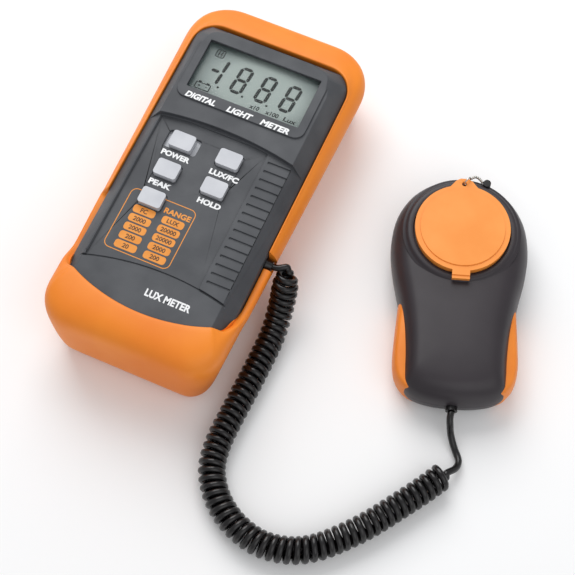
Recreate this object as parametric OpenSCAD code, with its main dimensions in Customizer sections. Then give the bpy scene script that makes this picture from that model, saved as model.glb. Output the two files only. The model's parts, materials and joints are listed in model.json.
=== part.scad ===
// Hand-held digital light meter in a rubber boot, with a separate sensor head on a
// curly cord. The origin is the middle of the boot's underside, +X is to the right,
// +Y points to the display end and +Z is up, out of the display.

/* [Meter body] */
// Width of the meter body
body_w = 71; // [70:0.5:72]
// Length of the meter body
body_l = 149; // [148:0.5:150]
// Corner radius of the body at the display end
body_r = 11; // [9:0.5:13]
// Corner radius of the body at the foot end, inside the boot's cup
foot_r = 20; // [19:0.5:22]
// Height of the front face above the resting surface
face_z = 38; // [37.5:0.25:38.5]
// Thickness of the case walls
wall_t = 2.2; // [2:0.1:2.4]

/* [Display] */
// Width of the visible part of the display
screen_w = 50.4; // [48:0.2:51]
// Height of the visible part of the display
screen_h = 24.4; // [22:0.2:25]
// Middle of the display along the body
screen_y = 43.6; // [43:0.2:44.2]

/* [Keys] */
// Width of a key cap
key_w = 10; // [9:0.1:10.4]
// Length of a key cap
key_l = 7.4; // [6.8:0.1:7.8]
// How far a key stands above the key panel
key_proud = 2.2; // [1.6:0.1:2.4]
// Travel of the four push keys
key_travel = 0.8; // [0.5:0.1:0.8]
// Travel of the power key
power_travel = 2; // [1.5:0.1:2]

/* [Rubber boot] */
// Greatest half width at the display end
boot_top_hw = 41.8; // [41:0.1:42.5]
// Greatest half width at the cup end
boot_cup_hw = 38.6; // [38.2:0.1:39.5]
// Outer end of the boot at the display end
boot_top_y = 82; // [80:0.5:84]
// Outer end of the boot at the cup end
boot_cup_y = -84; // [-86:0.5:-84]
// Thickness of the boot under the meter
boot_base_t = 3; // [2.5:0.25:3]

/* [Sensor head] */
// Place of the sensor cap's centre along X
sensor_x = 102.3; // [100:0.5:106]
// Place of the sensor cap's centre along Y
sensor_y = 23.9; // [22:0.5:26]
// Turn of the sensor head about the vertical
sensor_turn = 19.5; // [15:0.5:24]
// Radius of the sensor cap
cap_r = 19.5; // [19.3:0.1:19.7]
// Thickness of the sensor head's shells
shell_t = 2; // [1.6:0.1:2.2]

/* [Curly cord] */
// Outer diameter of the coiled cord
coil_d = 11.7; // [11:0.1:12]
// Diameter of the cord itself
cord_d = 2.8; // [2.4:0.1:2.8]

/* [Hidden] */

$fn = 64;
eps = 0.01;

// Colours
ORANGE = "#F08C32";
CASE_GREY = "#46494D";
KEY_GREY = "#C6C8CE";
HEAD_DARK = "#3B3539";
CORD_BLACK = "#1B171A";
STEEL = "#A9ACB0";
BOARD_GREEN = "#2E6B46";
CHIP_BLACK = "#202124";

// Body levels
body_bottom = boot_base_t + 0.2;
split_z = 26;
bevel_z = face_z - 6.5;
bevel_in = 5.3;
block_z = face_z + 2.2;
bezel_z = face_z + 3;
panel_z = face_z - 0.8;
back_in = 4.3;
body_y = -7;
body_hw = body_w / 2;
top_y = body_y + body_l / 2;
foot_y = body_y - body_l / 2;
boot_gap = 0.25;

// Shallow arcs that edge the key panel: [x, y, radius] of their circles
block_arc = [-3, 18.6 - 150, 150];
foot_arc = [4, -49.4 - 110, 110];
smile_arc = [1.5, 5.5, 74];

// Key panel
panel_x0 = -29.3;
panel_x1 = 18.4;
panel_top = 17.5;
groove_w = 0.9;
rib_count = 15;
rib_step = 4.17;
rib_first_y = 13;
rib_x = [20, 30];
key_left = -15.9;
key_right = 5.2;
key_rows = [7.5, -6.8, -21.1];
key_r = 1.2;
key_gap = 0.3;
flange_t = 1.2;
flange_z = face_z - wall_t - 0.2 - flange_t;
power_slot = 1.9;

// Boards and display stack
board_z = 27;
board_t = 1.6;
board_top = board_z + board_t;
board_hw = 27;
board_y = [-58, 58];
switch_h = 3.4;
lcd_t = 2.8;
window_t = 1.2;
window_z = block_z - wall_t;
lcd_z = window_z - 0.1 - lcd_t;
case_screw_at = [[22, 62.2], [-22, 62.2], [24, -72], [-24, -72]];
board_screw_at = [[24.3, 22.5], [-24.3, 22.5], [24.3, -54], [-24.3, -54]];

// Battery bay
bay_hw = 14;
bay_y = [-78, -28.5];
bay_floor = body_bottom + 3.4;
door_t = 1.8;
door_hw = 17.5;
door_y = [-78.6, -19.5];
door_screw_y = -23.2;

// Cord outlet in the right-hand wall, on the joint of the two cases
gland_y = -24;
gland_z = split_z;
gland_r = 2.6;
gland_x = 38.6;

// Sensor head levels and outline: right half from the crown to the tail
head_split = 10;
head_top = 22.2;
head_half = [
    [0, 27.5], [11, 25.6], [20.4, 19.2], [26.4, 9], [28.3, -3], [27.4, -15],
    [24.6, -28], [22.2, -41], [21.2, -53], [21, -61], [20.3, -66.6], [16.5, -69.9], [9, -71.8],
    [0, -72.5]
];
grip_half = [[24, -27], [24.5, -36], [25.1, -46], [25.3, -55], [24.2, -62], [20.4, -67]];
grip_z = [2.5, 16.5];
collar_r = [cap_r + 0.4, cap_r + 3];
collar_z = 23.6;
cap_z = 25;
cap_t = 1.6;
skirt_z = 22.5;
lug_y = 20.1;
ring_in = 17;
head_screws = [[17, 12], [-17, 12], [12, -55], [-12, -55]];
board_posts = [[0, -20], [9, 5], [-9, 5]];
lead_x = -0.6;
anchor_at = [9.6, 22.6];
anchor_r = 1.6;
anchor_z = 19.2;
sensor_board_z = 12;
holder_z = 13.5;
holder_h = 4;
filter_t = 1.6;
filter_r = 7.5;

// Route of the cord: straight lead out of the meter, coiled stretch, lead to the head
exit_route = [
    [31, -24, 26], [34, -24, 26], [gland_x, -24, 26], [41.5, -23.6, 26.6], [44, -22, 26.8],
    [45, -22.4, 25.4]
];
coil_route = [
    [45, -22.6, 25], [45.3, -26, 20.4], [46, -30, 15], [46.5, -34.5, 10.6], [47, -39.5, 7.6],
    [47.3, -45, 6.2], [47.4, -52, 6], [47.2, -66, 6], [46.7, -80, 6], [46.5, -93, 6],
    [48, -103, 6], [51.4, -110, 6], [57.7, -117, 6], [67, -122.6, 6], [78.5, -125.2, 6],
    [90, -123.2, 6], [99, -118, 6], [107, -110, 6], [114.3, -101, 6], [121, -91, 6],
    [128, -80, 6], [134, -69.5, 6]
];
lead_route = [
    [134.4, -68.8, 6], [136.5, -65.5, 3.6], [136.5, -61.5, 2.2], [133.2, -57.6, 2],
    [129.6, -53.4, 4.8], [127.8, -50.6, 8.8], [126.9, -48.5, 9.9], [126.6, -46.55, 10]
];

// Points ---------------------------------------------------------------------------

function unit(v) = v / norm(v);

// Point on a smooth curve through b and c, at t from 0 to 1
function blend4(a, b, c, d, t) =
    0.5 * ((2 * b) + (c - a) * t + (2 * a - 5 * b + 4 * c - d) * t * t
    + (3 * b - a - 3 * c + d) * t * t * t);

// Smooth curve through all the points, with a number of steps between each two
function smooth(p, steps) = concat(
    [for (i = [0 : len(p) - 2], s = [0 : steps - 1])
        blend4(p[max(i - 1, 0)], p[i], p[i + 1], p[min(i + 2, len(p) - 1)], s / steps)],
    [p[len(p) - 1]]
);

// Ring of a round tube of radius r at point i of a path
function tube_ring(path, i, r, sides) =
    let (
        t = unit(path[min(i + 1, len(path) - 1)] - path[max(i - 1, 0)]),
        u = unit(cross([0, 0, 1], t)),
        v = cross(t, u)
    )
    [for (k = [0 : sides - 1]) path[i] + r * (cos(360 * k / sides) * u + sin(360 * k / sides) * v)];

// Quarter of a rounded corner
function corner(cx, cy, r, from, steps) =
    [for (k = [0 : steps]) [cx + r * cos(from + 90 * k / steps), cy + r * sin(from + 90 * k / steps)]];

// Flat ring at height z: a rounded outline, wider at its far end than at its near end
function boot_ring(z, far_hw, near_hw, far_y, near_y, far_r, near_r) =
    [for (p = concat(
        corner(far_hw - far_r, far_y - far_r, far_r, 0, 8),
        corner(far_r - far_hw, far_y - far_r, far_r, 90, 8),
        corner(near_r - near_hw, near_y + near_r, near_r, 180, 8),
        corner(near_hw - near_r, near_y + near_r, near_r, 270, 8)
    )) [p[0], p[1], z]];

// Closed outline of the sensor head, from its right half
head_right = smooth(head_half, 3);
head_outline = concat(
    [for (i = [len(head_right) - 1 : -1 : 1]) head_right[i]],
    [for (i = [0 : len(head_right) - 2]) [-head_right[i][0], head_right[i][1]]]
);

// The head's outline at height z, drawn in by a margin all round
function head_ring(z, inset) =
    [for (p = head_outline) [
        p[0] * (1 - inset / 25),
        -22.5 + (p[1] + 22.5) * (1 - inset / 50),
        z
    ]];

// Shared solids --------------------------------------------------------------------

// Closed solid through a stack of rings with the same number of points
module loft(rings) {
    n = len(rings[0]);
    last = (len(rings) - 1) * n;
    points = [for (ring = rings, p = ring) p];
    sides = [for (r = [0 : len(rings) - 2], i = [0 : n - 1])
        let (a = r * n + i, b = r * n + (i + 1) % n)
        each [[a, b + n, b], [a, a + n, b + n]]];
    caps = [[for (i = [0 : n - 1]) i], [for (i = [n - 1 : -1 : 0]) last + i]];
    polyhedron(points, concat(sides, caps));
}

module tube(route, r, sides, steps) {
    path = smooth(route, steps);
    loft([for (i = [0 : len(path) - 1]) tube_ring(path, i, r, sides)]);
}

// Rounded rectangle, centred
module round_rect(w, l, r) {
    square([w - 2 * r, l], center = true);
    square([w, l - 2 * r], center = true);
    for (sx = [-1, 1], sy = [-1, 1])
        translate([sx * (w / 2 - r), sy * (l / 2 - r)])
            circle(r = r);
}

module round_block(w, l, h, r) {
    linear_extrude(height = h)
        round_rect(w, l, r);
}

// Box given by its lowest and highest corners
module span(low, high) {
    translate(low)
        cube(high - low);
}

// Prism along Y of an outline in X and Z
module along_y(points, from, to) {
    translate([0, to, 0])
        rotate([90, 0, 0])
            linear_extrude(height = to - from)
                polygon(points);
}

// Prism along X of an outline in Y and Z
module along_x(points, half) {
    rotate([90, 0, 90])
        translate([0, 0, -half])
            linear_extrude(height = 2 * half)
                polygon(points);
}

// The body's full outer form, grown by a margin (or drawn in by a negative one)
module body_form(grow, crown) {
    hw = body_hw + grow;
    top = crown + grow;
    rise = top - bevel_z;
    intersection() {
        linear_extrude(height = 60)
            for (end = [[1, body_r], [-1, foot_r]])
                translate([0, body_y + end[0] * 15])
                    round_rect(body_w + 2 * grow, body_l - 30 + 2 * grow, end[1] + grow);
        along_y([
            [-hw + back_in, body_bottom - grow], [hw - back_in, body_bottom - grow],
            [hw, 20], [hw, bevel_z], [hw - bevel_in, top],
            [-hw + bevel_in, top], [-hw, bevel_z], [-hw, 20]
        ], -100, 100);
        along_x([
            [foot_y - grow + 3.5, body_bottom - grow], [top_y + grow - 1.5, body_bottom - grow],
            [top_y + grow, 8], [top_y + grow, bevel_z], [top_y + grow - 0.72 * rise, top],
            [foot_y - grow + 4, top], [foot_y - grow, bevel_z], [foot_y - grow, 8]
        ], 60);
    }
}

// Everything on the display side of the block's shallow arc, drawn near by a margin
module block_side(margin) {
    difference() {
        span([-60, 0, 0], [60, 100, 60]);
        translate([block_arc[0], block_arc[1], -1])
            cylinder(r = block_arc[2] - margin, h = 70, $fn = 256);
    }
}

// Meter form with its raised display block
module meter_form(grow) {
    body_form(grow, face_z);
    intersection() {
        body_form(grow, block_z);
        block_side(grow);
    }
}

module gland_hole(r) {
    translate([20, gland_y, gland_z])
        rotate([0, 90, 0])
            cylinder(r = r, h = 20);
}

// Cheese-head screw standing on its head, shank upwards
module screw(head_r, head_h, shank_r, length) {
    difference() {
        cylinder(r = head_r, h = head_h);
        translate([-0.3, -head_r, -eps])
            cube([0.6, 2 * head_r, 0.5]);
        translate([-head_r, -0.3, -eps])
            cube([2 * head_r, 0.6, 0.5]);
    }
    translate([0, 0, head_h - eps])
        cylinder(r = shank_r, h = length);
}

module sensor_place() {
    translate([sensor_x, sensor_y, 0])
        rotate([0, 0, sensor_turn])
            children();
}

// Rubber boot ----------------------------------------------------------------------

// Levels of the boot: height, and how far its sides and ends are drawn in there
boot_levels = [
    [0, 8.4, 6.5], [1, 6.9, 4.6], [3, 5.4, 2.8], [6, 4.5, 1.6], [12, 3.2, 0.6], [20, 1.6, 0],
    [25, 0.5, 0], [28, 0, 0], [30, 0.3, 0.6], [32.5, 1.4, 1.6], [35, 2.4, 2.8], [37.5, 4.2, 4.6],
    [39, 6.2, 6.9], [39.8, 9, 11]
];

module boot_outer() {
    loft([for (v = boot_levels) boot_ring(
        v[0], boot_top_hw - v[1], boot_cup_hw - v[1],
        boot_top_y - v[2], boot_cup_y + v[2], 20 - v[1] / 2, 14 - v[1] / 2
    )]);
}

// The space above the walls, rim and lip, as seen from the side
module boot_open_top() {
    along_x([
        [100, 34.2], [62, 34.2], [56, 32.5], [-21.6, 32.5], [-21.6, 28], [-46, 28],
        [-57.5, 40.5], [-57.5, 60], [100, 60]
    ], 60);
}

module rubber_boot() {
    color(ORANGE)
        difference() {
            boot_outer();
            body_form(boot_gap, face_z);
            boot_open_top();
            translate([smile_arc[0], smile_arc[1], face_z - 2])
                cylinder(r = smile_arc[2], h = 30, $fn = 128);
            span([20, gland_y - 2.9, gland_z - 2.9], [60, gland_y + 2.9, 60]);
        }
}

// Cases ----------------------------------------------------------------------------

module at_case_screws() {
    for (p = case_screw_at)
        translate([p[0], p[1], 0])
            children();
}

module at_board_screws() {
    for (p = board_screw_at)
        translate([p[0], p[1], 0])
            children();
}

module rear_case() {
    color(CASE_GREY)
        difference() {
            intersection() {
                body_form(0, face_z);
                span([-60, -100, 0], [60, 100, split_z]);
            }
            difference() {
                body_form(-wall_t, face_z + wall_t);
                span([-bay_hw - 5, door_y[0] - 5, 0], [bay_hw + 5, door_y[1] + 1.5, bay_floor]);
                difference() {
                    span([-bay_hw - 1.6, bay_y[0] - 5, 0], [bay_hw + 1.6, bay_y[1] + 1.6, 20]);
                    span([-bay_hw, bay_y[0], 0], [bay_hw, bay_y[1], 21]);
                }
                at_case_screws()
                    cylinder(r = 3.9, h = split_z);
                translate([0, door_screw_y, 0])
                    cylinder(r = 3, h = 14);
            }
            span([-bay_hw, bay_y[0], 0], [bay_hw, bay_y[1], 10]);
            span([-door_hw - 0.2, door_y[0] - 0.2, 0], [door_hw + 0.2, door_y[1] + 0.2, body_bottom + door_t]);
            at_case_screws() {
                cylinder(r = 1.6, h = split_z + 1);
                cylinder(r = 2.8, h = body_bottom + 4);
            }
            translate([0, door_screw_y, 0])
                cylinder(r = 1.3, h = 12);
            gland_hole(gland_r + 0.05);
        }
}

// Cut-out of one key in the front face
module key_hole(x, y, extra) {
    translate([x, y, 30])
        round_block(key_w + 2 * key_gap + 2 * extra, key_l + 2 * key_gap, 12, key_r);
}

module front_case() {
    key_list = [
        [key_left, key_rows[0], power_slot], [key_left, key_rows[1], 0],
        [key_left, key_rows[2], 0], [key_right, key_rows[0], 0], [key_right, key_rows[1], 0]
    ];
    color(CASE_GREY)
        difference() {
            union() {
                intersection() {
                    meter_form(0);
                    span([-60, -100, split_z + 0.05], [60, 100, 60]);
                }
                translate([0, 44, block_z - 0.5])
                    round_block(57.6, 35.6, bezel_z - block_z + 0.5, 4.5);
                span([panel_x0 - 0.9, -52, face_z - 0.5], [panel_x0 - 0.1, 15, face_z + 0.4]);
            }
            difference() {
                meter_form(-wall_t);
                at_case_screws()
                    cylinder(r = 2.6, h = 60);
                at_board_screws()
                    translate([0, 0, board_top])
                        cylinder(r = 2.1, h = 30);
            }
            // Window, with its rebate behind the face
            span([-screen_w / 2, screen_y - screen_h / 2, 36], [screen_w / 2, screen_y + screen_h / 2, 50]);
            span(
                [-screen_w / 2 - 1.9, screen_y - screen_h / 2 - 1.9, window_z - 1],
                [screen_w / 2 + 1.9, screen_y + screen_h / 2 + 1.9, window_z + window_t + 0.05]
            );
            // Sunk key panel, down to the arc above the foot of the face
            intersection() {
                span([panel_x0, -60, panel_z], [panel_x1, panel_top, 60]);
                difference() {
                    span([-60, -60, 0], [60, panel_top, 60]);
                    translate([foot_arc[0], foot_arc[1], -1])
                        cylinder(r = foot_arc[2] + groove_w / 2, h = 70, $fn = 256);
                    block_side(0.4);
                }
            }
            // Groove along the arc
            intersection() {
                translate([foot_arc[0], foot_arc[1], face_z - 1.2])
                    difference() {
                        cylinder(r = foot_arc[2] + groove_w, h = 10, $fn = 256);
                        translate([0, 0, -1])
                            cylinder(r = foot_arc[2], h = 12, $fn = 256);
                    }
                span([-32, -60, 0], [33, -40, 60]);
            }
            for (k = key_list)
                key_hole(k[0], k[1], k[2]);
            for (i = [0 : rib_count - 1])
                span(
                    [rib_x[0], rib_first_y - i * rib_step - 0.45, face_z - 0.6],
                    [rib_x[1], rib_first_y - i * rib_step + 0.45, face_z + 5]
                );
            at_case_screws()
                cylinder(r = 1.25, h = 34);
            at_board_screws()
                cylinder(r = 1.05, h = 34);
            gland_hole(gland_r + 0.05);
        }
}

module case_screws() {
    color(STEEL)
        at_case_screws()
            translate([0, 0, body_bottom + 2])
                screw(2.5, 2, 1.2, 26);
}

// Battery --------------------------------------------------------------------------

module battery_door() {
    color(CASE_GREY)
        difference() {
            union() {
                span([-door_hw, door_y[0], body_bottom], [door_hw, door_y[1], body_bottom + door_t - 0.05]);
                for (sx = [-1, 1])
                    span(
                        [sx * 9 - 1.5, bay_y[0] + 0.4, body_bottom + 1],
                        [sx * 9 + 1.5, bay_y[0] + 1.6, body_bottom + 3.4]
                    );
            }
            translate([0, door_screw_y, 0])
                cylinder(r = 1.5, h = 20);
            translate([0, door_screw_y, 0])
                cylinder(r = 2.7, h = body_bottom + 0.9);
            for (i = [0 : 5])
                span([-8, -72 + 2 * i, 0], [8, -71.2 + 2 * i, body_bottom + 0.4]);
        }
}

module battery_door_screw() {
    color(STEEL)
        translate([0, door_screw_y, body_bottom + 0.05])
            screw(2.4, 0.8, 1.2, 7);
}

module battery() {
    color("#B8B4A8") {
        translate([0, -54.9, 15.8])
            rotate([90, 0, 0])
                translate([0, 0, -22.7])
                    round_block(26.2, 17.2, 45.4, 2);
        for (sx = [-1, 1])
            translate([sx * 6.35, -32.3, 15.8])
                rotate([-90, 0, 0])
                    cylinder(r = sx > 0 ? 2.9 : 3.8, h = 2.2);
    }
}

module battery_snap() {
    color(CHIP_BLACK)
        difference() {
            span([-12.5, -32, 10], [12.5, -29, 21.6]);
            for (sx = [-1, 1])
                translate([sx * 6.35, -33, 15.8])
                    rotate([-90, 0, 0])
                        cylinder(r = sx > 0 ? 3 : 3.9, h = 3.1);
        }
}

module battery_leads() {
    color("#A03028")
        for (sx = [-1, 1])
            tube([
                [sx * 4, -28.9, 21], [sx * 4, -27, 21.4], [sx * 4.6, -25, 23], [sx * 5, -22, 25],
                [sx * 5, -21.4, 25.8], [sx * 5, -20.9, board_z - 0.4]
            ], 0.6, 8, 2);
}

// Board and display ----------------------------------------------------------------

module main_board() {
    color(BOARD_GREEN)
        difference() {
            span([-board_hw, board_y[0], board_z], [board_hw, board_y[1], board_top - 0.05]);
            at_board_screws()
                cylinder(r = 1.3, h = 60);
        }
}

module board_screws() {
    color(STEEL)
        at_board_screws()
            translate([0, 0, board_z - 1.25])
                screw(1.9, 1.2, 1, 6);
}

module lcd_frame() {
    color("#E8E6DE")
        difference() {
            translate([0, screen_y, board_top])
                round_block(screen_w + 4, screen_h + 4, window_z - 0.1 - board_top, 1);
            span([-22, screen_y - 8.6, 0], [22, screen_y + 8.6, 60]);
            span(
                [-screen_w / 2 - 1.1, screen_y - screen_h / 2 - 1.1, lcd_z - 0.05],
                [screen_w / 2 + 1.1, screen_y + screen_h / 2 + 1.1, 60]
            );
            for (sy = [-1, 1])
                span([-23, screen_y + sy * 11 - 1.2, 0], [23, screen_y + sy * 11 + 1.2, 60]);
        }
}

module zebra_strips() {
    color("#D8A8A0")
        for (sy = [-1, 1])
            span([-22.9, screen_y + sy * 11 - 1.1, board_top + 0.05], [22.9, screen_y + sy * 11 + 1.1, lcd_z - 0.1]);
}

module lcd_panel() {
    color("#8E9C98")
        span(
            [-screen_w / 2 - 1, screen_y - screen_h / 2 - 1, lcd_z],
            [screen_w / 2 + 1, screen_y + screen_h / 2 + 1, lcd_z + lcd_t]
        );
}

module display_window() {
    color([0.85, 0.9, 0.9, 0.35])
        span(
            [-screen_w / 2 - 1.8, screen_y - screen_h / 2 - 1.8, window_z],
            [screen_w / 2 + 1.8, screen_y + screen_h / 2 + 1.8, window_z + window_t]
        );
}

// Keys and switches ----------------------------------------------------------------

module tact_switches() {
    places = [
        [key_left, key_rows[1]], [key_left, key_rows[2]],
        [key_right, key_rows[0]], [key_right, key_rows[1]]
    ];
    color(CHIP_BLACK)
        for (p = places)
            translate([p[0], p[1], board_top]) {
                translate([-3, -3, 0])
                    cube([6, 6, switch_h]);
                cylinder(r = 1.7, h = switch_h + 0.7);
            }
}

module power_switch() {
    color("#D9D7CF")
        translate([key_left, key_rows[0], board_top])
            difference() {
                translate([-4, -4, 0])
                    cube([8, 8, 3.6]);
                translate([-1.8, -1.8, 0.6])
                    cube([3.6, 3.6, 4]);
            }
}

module power_plunger() {
    color("#2B2B2E")
        translate([key_left, key_rows[0], board_top + 2.8])
            translate([-1.7, -1.7, 0])
                cube([3.4, 3.4, flange_z - board_top - 2.85]);
}

// Key cap with its hidden flange, and a stem that reaches down to its switch
module key(x, y, flange_w, stem_z) {
    color(KEY_GREY)
        translate([x, y, 0]) {
            translate([0, 0, flange_z])
                round_block(key_w, key_l, panel_z + key_proud - flange_z, key_r);
            translate([0, 0, flange_z])
                round_block(flange_w, key_l + 2.4, flange_t, key_r);
            if (stem_z < flange_z)
                translate([-2, -2, stem_z])
                    cube([4, 4, flange_z - stem_z + eps]);
        }
}

push_stem_z = board_top + switch_h + 0.7 + key_travel + 0.1;

module power_button() {
    key(key_left, key_rows[0], key_w + 2 * power_slot + 2.4, flange_z);
}

module peak_button() {
    key(key_left, key_rows[1], key_w + 2.4, push_stem_z);
}

module range_button() {
    key(key_left, key_rows[2], key_w + 2.4, push_stem_z);
}

module lux_fc_button() {
    key(key_right, key_rows[0], key_w + 2.4, push_stem_z);
}

module hold_button() {
    key(key_right, key_rows[1], key_w + 2.4, push_stem_z);
}

// Electronic parts -----------------------------------------------------------------

module converter_chip() {
    color(CHIP_BLACK)
        translate([-2, -42, board_top]) {
            translate([-7, -7, 0.3])
                cube([14, 14, 2.2]);
            for (turn = [0 : 90 : 270], i = [-5 : 5])
                rotate([0, 0, turn])
                    translate([i * 1.1 - 0.2, 6.9, 0])
                        cube([0.4, 1.5, 0.8]);
        }
}

module amplifier_chip() {
    color(CHIP_BLACK)
        translate([-19, -42, board_top]) {
            translate([-2, -2.5, 0.3])
                cube([4, 5, 1.6]);
            for (sx = [-1, 1], i = [0 : 3])
                translate([sx * 2.5 - 0.6, i * 1.27 - 2.1, 0])
                    cube([1.2, 0.4, 0.8]);
        }
}

module trimmers() {
    color("#3C66B0")
        for (x = [13, 21])
            translate([x, -42, board_top])
                difference() {
                    translate([-3.2, -3.2, 0])
                        cube([6.4, 6.4, 4.4]);
                    translate([0, 0, 3.6])
                        cylinder(r = 1.5, h = 2);
                }
}

module capacitors() {
    color("#2F3550")
        for (p = [[14, -24], [21, -24], [14, -32]])
            translate([p[0], p[1], board_top])
                cylinder(r = 2.5, h = 5.2);
}

// Cord -----------------------------------------------------------------------------

module meter_gland() {
    color(CORD_BLACK)
        translate([0, gland_y, gland_z])
            rotate([0, 90, 0])
                difference() {
                    union() {
                        translate([0, 0, 31.4])
                            cylinder(r = 3.8, h = 1.6);
                        translate([0, 0, 32])
                            cylinder(r = gland_r, h = 4);
                        translate([0, 0, 36])
                            cylinder(r1 = gland_r, r2 = 2, h = gland_x - 36);
                    }
                    translate([0, 0, 30])
                        cylinder(r = cord_d / 2 + 0.05, h = 12);
                }
}

module cord_exit_lead() {
    color(CORD_BLACK)
        tube(exit_route, cord_d / 2, 8, 2);
}

module cord_coil() {
    color(CORD_BLACK)
        tube(coil_route, coil_d / 2, 12, 2);
}

module cord_sensor_lead() {
    color(CORD_BLACK)
        tube(lead_route, cord_d / 2, 8, 2);
}

// Sensor head ----------------------------------------------------------------------

module sensor_gland() {
    color(CORD_BLACK)
        sensor_place()
            translate([lead_x, -67.8, head_split])
                rotate([90, 0, 0])
                    difference() {
                        union() {
                            cylinder(r = 3.4, h = 0.8);
                            cylinder(r = 2.4, h = 6.4);
                        }
                        translate([0, 0, 3.3])
                            cylinder(r = cord_d / 2 + 0.1, h = 4);
                    }
}

module sensor_gland_hole() {
    translate([lead_x, -60, head_split])
        rotate([90, 0, 0])
            cylinder(r = 2.45, h = 20);
}

module posts(places, z0, h, r) {
    for (p = places)
        translate([p[0], p[1], z0])
            cylinder(r = r, h = h);
}

module sensor_bottom_shell() {
    color(HEAD_DARK)
        sensor_place() {
            posts(board_posts, shell_t - 0.2, sensor_board_z - shell_t + 0.15, 2);
            difference() {
                loft([
                    head_ring(0, 5.5), head_ring(0.8, 3.6), head_ring(2.4, 2), head_ring(5, 0.8),
                    head_ring(head_split - 0.05, 0)
                ]);
                difference() {
                    loft([
                        head_ring(shell_t, 5.5), head_ring(4.2, 4), head_ring(head_split + 1, 2.4)
                    ]);
                    posts(head_screws, 0, 20, 3.2);
                }
                posts(head_screws, -1, 20, 1.4);
                posts(head_screws, -1, 3.5, 2.5);
                sensor_gland_hole();
            }
        }
}

module sensor_top_shell() {
    color(HEAD_DARK)
        sensor_place()
            difference() {
                union() {
                    loft([
                        head_ring(head_split, 0), head_ring(13, 0.1), head_ring(16, 0.9),
                        head_ring(18.6, 2.3), head_ring(20.6, 4.2), head_ring(21.8, 6.6),
                        head_ring(head_top, 9.4)
                    ]);
                    translate([0, 0, 17])
                        cylinder(r = collar_r[1], h = collar_z - 17);
                }
                difference() {
                    loft([
                        head_ring(head_split - 1, 2.4), head_ring(15, 3.2), head_ring(18, 5),
                        head_ring(head_top - 2.2, 8.4)
                    ]);
                    posts(head_screws, 0, 30, 2.6);
                    translate([0, 0, 18])
                        difference() {
                            cylinder(r = collar_r[1] + 0.5, h = 6);
                            translate([0, 0, -1])
                                cylinder(r = collar_r[0] - 4, h = 8);
                        }
                }
                translate([0, 0, head_top])
                    cylinder(r = collar_r[0], h = 10);
                translate([0, 0, 12])
                    cylinder(r = 15.2, h = 20);
                posts(head_screws, 0, 16, 1.05);
                posts([anchor_at], anchor_z, 10, anchor_r + 0.05);
                sensor_gland_hole();
            }
}

// Half of the sensor's grip pair, on the +X side
module grip_form() {
    outer = smooth(grip_half, 4);
    translate([0, 0, grip_z[0]])
        linear_extrude(height = grip_z[1] - grip_z[0])
            difference() {
                polygon(concat(outer, [[12, -68.2], [12, -27]]));
                polygon([for (p = head_outline) [p[0] * 1.006, -22.5 + (p[1] + 22.5) * 1.003]]);
            }
}

module right_grip() {
    color(ORANGE)
        sensor_place()
            grip_form();
}

module left_grip() {
    color(ORANGE)
        sensor_place()
            mirror([1, 0, 0])
                grip_form();
}

module sensor_board() {
    color(BOARD_GREEN)
        sensor_place()
            difference() {
                union() {
                    translate([0, 0, sensor_board_z])
                        cylinder(r = 13.6, h = 1.4);
                    span([-7, -24, sensor_board_z], [7, 0, sensor_board_z + 1.4]);
                }
                translate([0, -14, sensor_board_z - 1])
                    cylinder(r = 1.2, h = 10);
            }
}

module sensor_screws() {
    color(STEEL)
        sensor_place()
            for (p = head_screws)
                translate([p[0], p[1], 0.6])
                    screw(2.3, 1.6, 1, 12);
}

module photodiode() {
    color("#5A4A70")
        sensor_place()
            translate([0, 0, 13.45]) {
                cylinder(r = 5, h = 1.6);
                cylinder(r = 4, h = 2);
            }
}

module filter_holder() {
    color(CHIP_BLACK)
        sensor_place()
            translate([0, 0, holder_z])
                difference() {
                    cylinder(r = 12.8, h = holder_h);
                    translate([0, 0, -1])
                        cylinder(r = 5.4, h = 10);
                    translate([0, 0, holder_h - filter_t - 0.2])
                        cylinder(r = filter_r + 0.1, h = 10);
                }
}

module optical_filter() {
    color("#7FA08A")
        sensor_place()
            translate([0, 0, holder_z + holder_h - filter_t - 0.15])
                cylinder(r = filter_r, h = filter_t);
}

module diffuser() {
    color("#F4F2EA")
        sensor_place()
            difference() {
                union() {
                    translate([0, 0, 17.6])
                        cylinder(r = 15, h = 2.4);
                    intersection() {
                        translate([0, 0, -4.6])
                            sphere(r = 28.4);
                        translate([0, 0, 19])
                            cylinder(r = 14.6, h = 6);
                    }
                }
                translate([0, 0, 17])
                    cylinder(r = 9, h = 2);
            }
}

module diffuser_ring() {
    color(CHIP_BLACK)
        sensor_place()
            difference() {
                union() {
                    translate([0, 0, 20.1])
                        cylinder(r = 15.1, h = 3);
                    translate([0, 0, head_top + 0.1])
                        cylinder(r = ring_in, h = 1.5);
                }
                translate([0, 0, 15])
                    cylinder(r = 14.7, h = 12);
            }
}

// Ear of the cap that the chain is hooked into
module cap_ear() {
    polygon([[-6.5, 17.6], [-3.4, lug_y + 1.4], [-1.6, 22.6], [1.6, 22.6], [3.4, lug_y + 1.4], [6.5, 17.6]]);
}

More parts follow.
